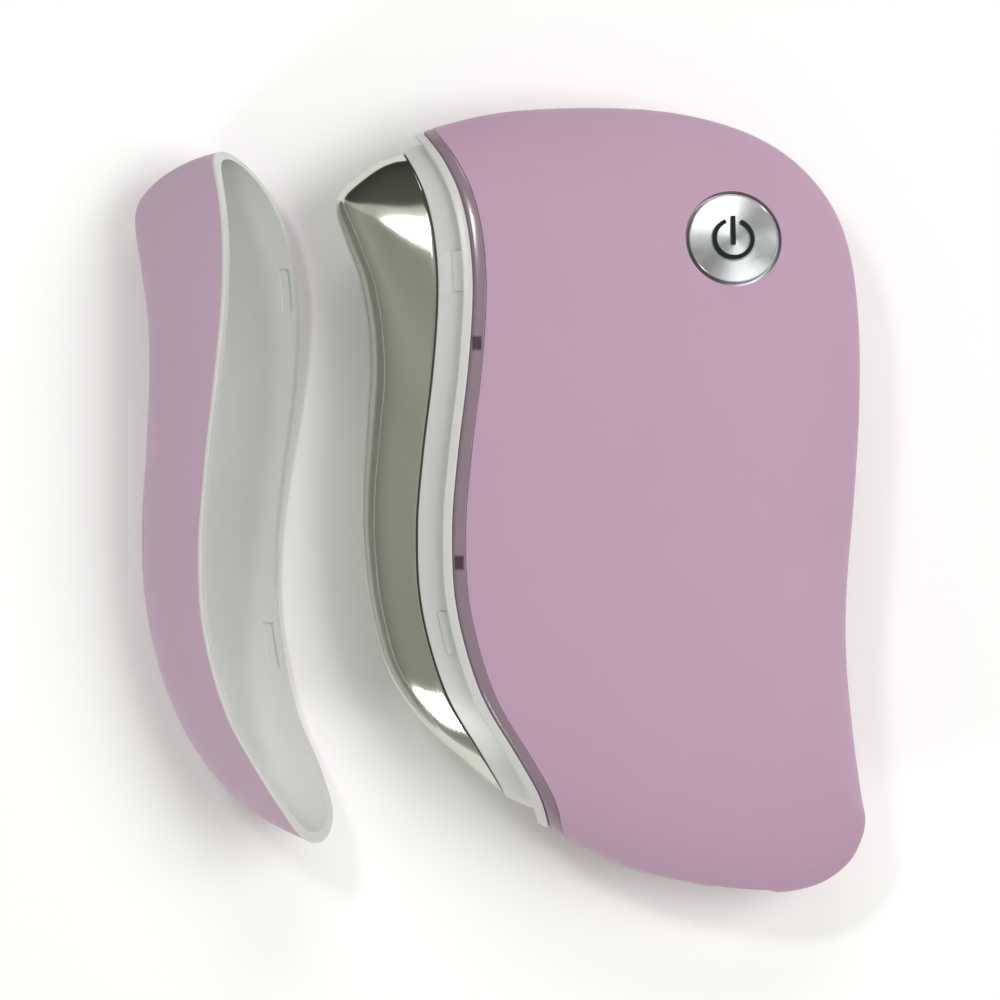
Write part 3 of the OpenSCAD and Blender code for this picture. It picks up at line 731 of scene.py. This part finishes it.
def spunPiece(name, profile, segments):
    deselectAll()
    bpy.ops.mesh.primitive_plane_add(size=1)
    piece = bpy.context.object
    piece.name = name
    editAll(piece)
    bpy.ops.mesh.delete(type="VERT")
    bpy.ops.object.mode_set(mode="OBJECT")
    mesh = piece.data
    mesh.vertices.add(len(profile))
    mesh.vertices.foreach_set("co", [c * mm for x, z in profile for c in (x, 0, z)])
    mesh.edges.add(len(profile) - 1)
    mesh.edges.foreach_set("vertices", [k for i in range(len(profile) - 1) for k in (i, i + 1)])
    mesh.update()
    editAll(piece)
    bpy.ops.mesh.spin(steps=segments, angle=2 * math.pi, center=(0, 0, 0), axis=(0, 0, 1))
    bpy.ops.mesh.select_all(action="SELECT")
    bpy.ops.mesh.remove_doubles(threshold=0.002 * mm)
    bpy.ops.mesh.normals_make_consistent(inside=False)
    bpy.ops.object.mode_set(mode="OBJECT")
    return piece


powerButton = buttonFace()
smooth(powerButton, 30)
place(powerButton, buttonPlace)
spun = spunAluminium("spunAluminium", tuple(buttonTop), tuple(buttonTurn.to_euler()),
                     tuple(pressAxis))
settle(powerButton, "button", "power_button", spun)
print("button made")


# Cap

cap = {
    "gap": 0.3,           # from its mouth to the collar's rim when it is on
    "shell": 0.6,
    "liner": 0.6,
    "lip": 0.5,           # width of the liner's lip, which wraps round the shell's edge
    "rows": 170,
    "columns": 44,        # on each face
    "edge": 0.16,
}
liftJoint = next(j for j in frame["joints"] if j["name"] == "cap_lift")
swing = Matrix.Rotation(-math.radians(liftJoint["range_deg"][1]), 4, Vector(liftJoint["axis"]))
pivot = Matrix.Translation(Vector(liftJoint["pos_m"]))
layCap = pivot @ swing @ pivot.inverted()
capAcross = (np.arange(-cap["columns"], cap["columns"] + 1)) / cap["columns"]


def capSkin(start, depth):
    across = np.sin((1 - np.abs(capAcross)) * math.pi / 2)
    plan = planGrid(-1, start, depth, cap["rows"], across)
    z = seam - np.sign(capAcross)[None, :] * halfThickness(plan[..., 0], plan[..., 1], depth)
    return np.dstack([plan, z[..., None]])


def lipEdge(start, depth, up):
    # one line of the mouth, on the front (up 1) or the back (-1)
    line = planGrid(-1, start, depth, cap["rows"], [0])[:, 0]
    z = seam + up * halfThickness(line[:, 0], line[:, 1], depth)
    return np.column_stack([line, z])[:, None]


def linerLoop():
    # each row runs round the outside, over the back lip, round the inside and over the front lip
    mouth, shoulderAt = -cap["gap"], -cap["gap"] - cap["lip"]
    outer = capSkin(shoulderAt, cap["shell"] + 0.02)
    inner = capSkin(mouth, cap["shell"] + cap["liner"])[:, ::-1]
    front = [lipEdge(mouth - 0.08, 0, 1), lipEdge(shoulderAt, 0, 1)]
    back = [lipEdge(shoulderAt, 0, -1), lipEdge(mouth - 0.08, 0, -1)]
    frontMouth, backMouth = lipEdge(mouth, 0.08, 1), lipEdge(mouth, 0.08, -1)
    return np.concatenate([frontMouth] + front + [outer] + back + [backMouth, inner, frontMouth], 1)


capShell = gridPiece("capShell", capSkin(-cap["gap"] - cap["lip"] - 0.03, 0))
faceOutwards(capShell, ((-31, 0, 22), (0, 0, 1)))
thicken(capShell, cap["shell"], 0.06)
smooth(capShell, 50)
place(capShell, layCap)
settle(capShell, "cap", "cap_shell", pinkCapPaintedLighter)

capLiner = gridPiece("capLiner", linerLoop())
grooveFar, grooveNear = -catch["reach"] - catch["grooveAcross"][0], -catch["grooveAcross"][1]
cutWith(capLiner, catchBlocks([
    (grooveFar, catch["grooveFrom"]), (grooveFar, catch["grooveTo"]),
    (grooveNear, catch["grooveTo"]), (grooveNear, catch["grooveFrom"])], catch["slack"]))
smooth(capLiner, 40)
place(capLiner, layCap)
settle(capLiner, "cap", "cap_liner", linerAbs)
print("cap made")


# Finishes of the pieces that stay as they are in the frame

plated = plainMetal("platedSteel", "#b4b4b2", "#c2c2c0", 0.3)
tin = plainMetal("tinPlate", "#bcbec0", "#cacccd", 0.25)
black = plainPlastic("blackMoulding", "#17181a", "#202124", 0.5)
board = plainPlastic("greenSolderMask", "#1d5a37", "#246741", 0.35, 2)
finishes = {
    "indicator_leds": plainPlastic("smokedLens", "#2b1f2c", "#37293a", 0.2),
    "head_plate": innerAbs, "heater_bar": plainMetal("milledAluminium", "#aeb1b5", "#bcbfc2", 0.35),
    "heater_film": plainPlastic("polyimideFilm", "#a85a1b", "#bb6a28", 0.25),
    "thermistor": black, "head_studs": plated, "head_nuts": plated, "button_icon": ink,
    "switch_plunger": black, "switch_body": tin, "button_board": board,
    "button_board_screws": plated, "main_board": board, "main_board_screws": plated,
    "controller_chip": black, "charger_chip": black,
    "boost_inductor": plainPlastic("ferrite", "#3c3c3f", "#48484b", 0.6),
    "board_plugs": plainPlastic("ivoryNylon", "#ddd8c8", "#e6e2d4", 0.45),
    "charging_socket": tin, "socket_tongue": black,
    "battery_cell": plainMetal("pouchFoil", "#a9adb4", "#b8bcc2", 0.4, 0.6),
    "battery_pad": plainPlastic("foamTape", "#dcd8c9", "#e7e3d6", 0.85),
    "battery_leads": plainPlastic("redInsulation", "#9c1f18", "#b02a20", 0.5),
    "motor_can": plainMetal("drawnSteel", "#a9abad", "#b9bbbd", 0.3),
    "motor_cradle": innerAbs, "motor_shaft": plated,
    "motor_weight": plainMetal("sinteredTungsten", "#6c665d", "#7d766c", 0.5),
    "motor_leads": plainPlastic("blueInsulation", "#21407f", "#2b4d92", 0.5),
    "heater_leads": plainPlastic("greyInsulation", "#5c5c5c", "#6b6b6b", 0.5),
}
for name, finish in finishes.items():
    node = frame["nodes"][name]
    node.data.materials.clear()
    node.data.materials.append(finish)
    smooth(node, 30)
print("frame pieces finished")


# Studio

studio = {
    "middle": (-17.9, 0, 12),   # what the camera looks at
    "width": 128,               # width in view at that height
    "distance": 800,            # camera above it
    "floor": 6000,
    # brightness of the room by height, from below the horizon to the zenith
    "room": [(0.0, (0.62, 0.62, 0.61)), (0.08, (0.36, 0.36, 0.35)), (0.20, (0.24, 0.235, 0.21)),
             (0.70, (0.42, 0.42, 0.375)), (1.0, (0.28, 0.28, 0.25))],
    # and its brightness along Y: a lit strip past the top of the handle, then a dark end
    "ends": [(0.0, 0.5), (0.36, 0.5), (0.39, 0.75), (0.48, 0.75), (0.51, 0.12), (1.0, 0.1)],
    # softboxes: place, size, power
    "key": ((430, 60, 640), (420, 460), 3.5),
    "top": ((-265, 335, 690), (120, 60), 1.0),
    "far": ((60, 600, 480), (420, 220), 1.2),
    "left": ((-560, -460, 250), (120, 130), 1.6),
}


def buildFloor():
    deselectAll()
    bpy.ops.mesh.primitive_plane_add(size=studio["floor"] * mm)
    floor = bpy.context.object
    floor.name = "floor"
    finish, tree, shader, place = newFinish("paleSeamlessPaper", "#fafafa", {"Roughness": 0.85})
    grain(tree, shader, place, 0.6, 0.01, 0.3)
    floor.data.materials.append(finish)


def addSoftbox(name):
    spot, size, power = studio[name]
    light = bpy.data.lights.new(name, "AREA")
    light.shape = "RECTANGLE"
    light.size, light.size_y = size[0] * mm, size[1] * mm
    light.energy = power
    lamp = bpy.data.objects.new(name, light)
    lamp.location = Vector(spot) * mm
    aim = Vector(studio["middle"]) * mm - lamp.location
    lamp.rotation_euler = aim.to_track_quat("-Z", "Y").to_euler()
    scene.collection.objects.link(lamp)


def buildWorld():
    world = bpy.data.worlds.new("studioRoom")
    world.use_nodes = True
    scene.world = world
    tree = world.node_tree
    place = addNode(tree, "TexCoord").outputs["Generated"]
    split = addNode(tree, "SeparateXYZ", {0: place})
    height = rampAlong(tree, split.outputs["Z"], studio["room"])
    ends = rampAlong(tree, split.outputs["Y"], [(at, (v, v, v)) for at, v in studio["ends"]])
    product = addNode(tree, "VectorMath", {0: height, 1: ends}, operation="MULTIPLY")
    back = tree.nodes["Background"]
    tree.links.new(product.outputs["Vector"], back.inputs["Color"])
    back.inputs["Strength"].default_value = 2.1


def rampAlong(tree, source, stops):
    ramp = addNode(tree, "ValToRGB", {0: source})
    elements = ramp.color_ramp.elements
    while len(elements) < len(stops):
        elements.new(0.5)
    for element, (at, colour) in zip(elements, stops):
        element.position, element.color = at, colour + (1,)
    return ramp.outputs["Color"]


def buildCamera():
    camera = bpy.data.cameras.new("camera")
    camera.sensor_width = 36
    camera.lens = 36 * studio["distance"] / studio["width"]
    camera.clip_start, camera.clip_end = 0.01, 20
    eye = bpy.data.objects.new("camera", camera)
    x, y, z = studio["middle"]
    eye.location = Vector((x, y, z + studio["distance"])) * mm
    scene.collection.objects.link(eye)
    scene.camera = eye


buildFloor()
buildWorld()
for name in ("key", "top", "far", "left"):
    addSoftbox(name)
buildCamera()
scene.view_settings.view_transform = "Standard"
print("studio made")
